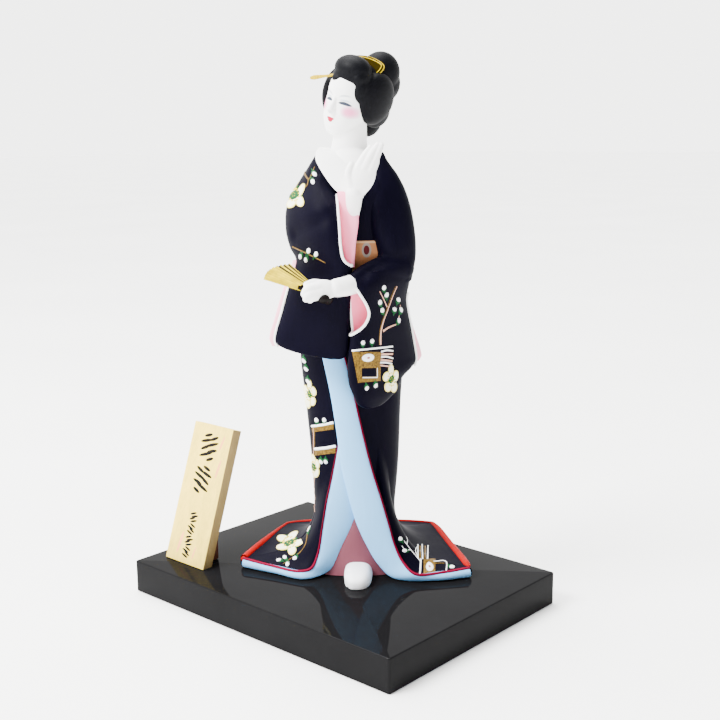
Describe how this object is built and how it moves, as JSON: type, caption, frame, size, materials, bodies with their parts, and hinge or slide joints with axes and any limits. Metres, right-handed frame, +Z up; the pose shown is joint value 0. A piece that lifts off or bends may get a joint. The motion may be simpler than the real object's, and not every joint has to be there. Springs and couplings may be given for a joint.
{
  "type": "hakata doll",
  "caption": "Painted clay figure of a woman in a kimono with a spread train and an open fan, on a black lacquered plinth with a leaning name tablet.",
  "frame": {"origin": "centre of the plinth's underside", "axes": "+Z up; X along the plinth's length, +X to the right seen from the front; -Y towards the front long edge"},
  "size_m": [0.21, 0.155, 0.3277],
  "materials": {
    "black_lacquer": "gloss black lacquer",
    "painted_clay": "matte paint over fired clay, navy with white skin and coloured borders",
    "gilt_paper": "soft gold paper",
    "dark_lacquer": "satin dark lacquer",
    "gilt": "satin gilt",
    "pale_wood": "planed bare wood",
    "brown_wood": "satin dark brown stain"
  },
  "bodies": {
    "root": {"plinth": "black_lacquer", "figure": "painted_clay", "fan_leaf": "gilt_paper", "fan_sticks": "dark_lacquer", "hair_comb": "gilt", "hairpin": "gilt", "name_tablet": "pale_wood", "tablet_prop": "brown_wood"}
  },
  "joints": []
}
